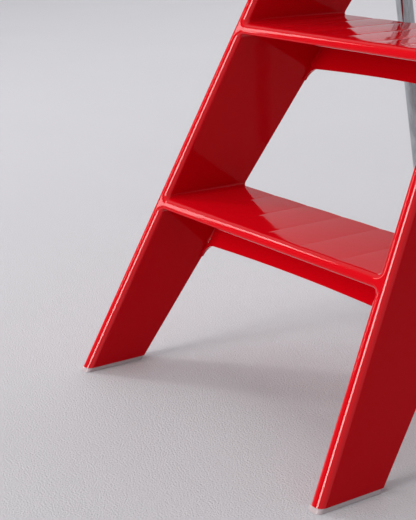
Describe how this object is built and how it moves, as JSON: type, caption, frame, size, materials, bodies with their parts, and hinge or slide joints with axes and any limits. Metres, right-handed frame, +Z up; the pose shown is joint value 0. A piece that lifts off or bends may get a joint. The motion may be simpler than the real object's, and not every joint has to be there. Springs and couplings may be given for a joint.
{
  "type": "folding step ladder",
  "caption": "Folding step ladder with a moulded front frame, fixed treads, a lifting standing platform, a hand hoop and a bent-tube rear frame that folds forward.",
  "frame": {"origin": "on the floor at the centre of the overall footprint", "axes": "+X to the user's right when facing the treads, +Y from the front feet to the rear feet, +Z up"},
  "size_m": [0.5574, 0.6706, 1],
  "materials": {
    "red_moulding": "high gloss red injection moulding",
    "chrome_tube": "bright chrome plate on steel tube",
    "plain_steel": "zinc plated steel, fine grain",
    "clear_sole": "clear soft plastic that picks up the red above it",
    "dark_rubber": "matt rubber",
    "grey_plastic": "satin grey plastic",
    "grey_rubber": "matt grey rubber"
  },
  "bodies": {
    "front": {"front_frame": "red_moulding", "grip_cover": "red_moulding", "front_pad_right": "clear_sole", "front_pad_left": "clear_sole", "platform_pin_right": "plain_steel", "platform_pin_left": "plain_steel", "rest_pad_right": "dark_rubber", "rest_pad_left": "dark_rubber", "leg_bolt_right": "plain_steel", "leg_bolt_left": "plain_steel", "leg_nut_right": "plain_steel", "leg_nut_left": "plain_steel", "leg_spacer_right": "grey_plastic", "leg_spacer_left": "grey_plastic"},
    "rear": {"rear_leg_tube": "chrome_tube", "brace_rod": "plain_steel", "tube_end_cap_right": "grey_plastic", "tube_end_cap_left": "grey_plastic", "rod_cap_right": "grey_plastic", "rod_cap_left": "grey_plastic", "rear_foot_right": "grey_rubber", "rear_foot_left": "grey_rubber"},
    "deck": {"platform": "red_moulding"}
  },
  "joints": [
    {"name": "rear_fold", "type": "hinge", "parent": "front", "child": "rear", "pos_m": [0, 0.16457, 0.58], "axis": [-1, 0, 0], "range_deg": [0, 48]},
    {"name": "platform_lift", "type": "hinge", "parent": "front", "child": "deck", "pos_m": [0, 0.02666, 0.648], "axis": [1, 0, 0], "range_deg": [0, 62]}
  ]
}
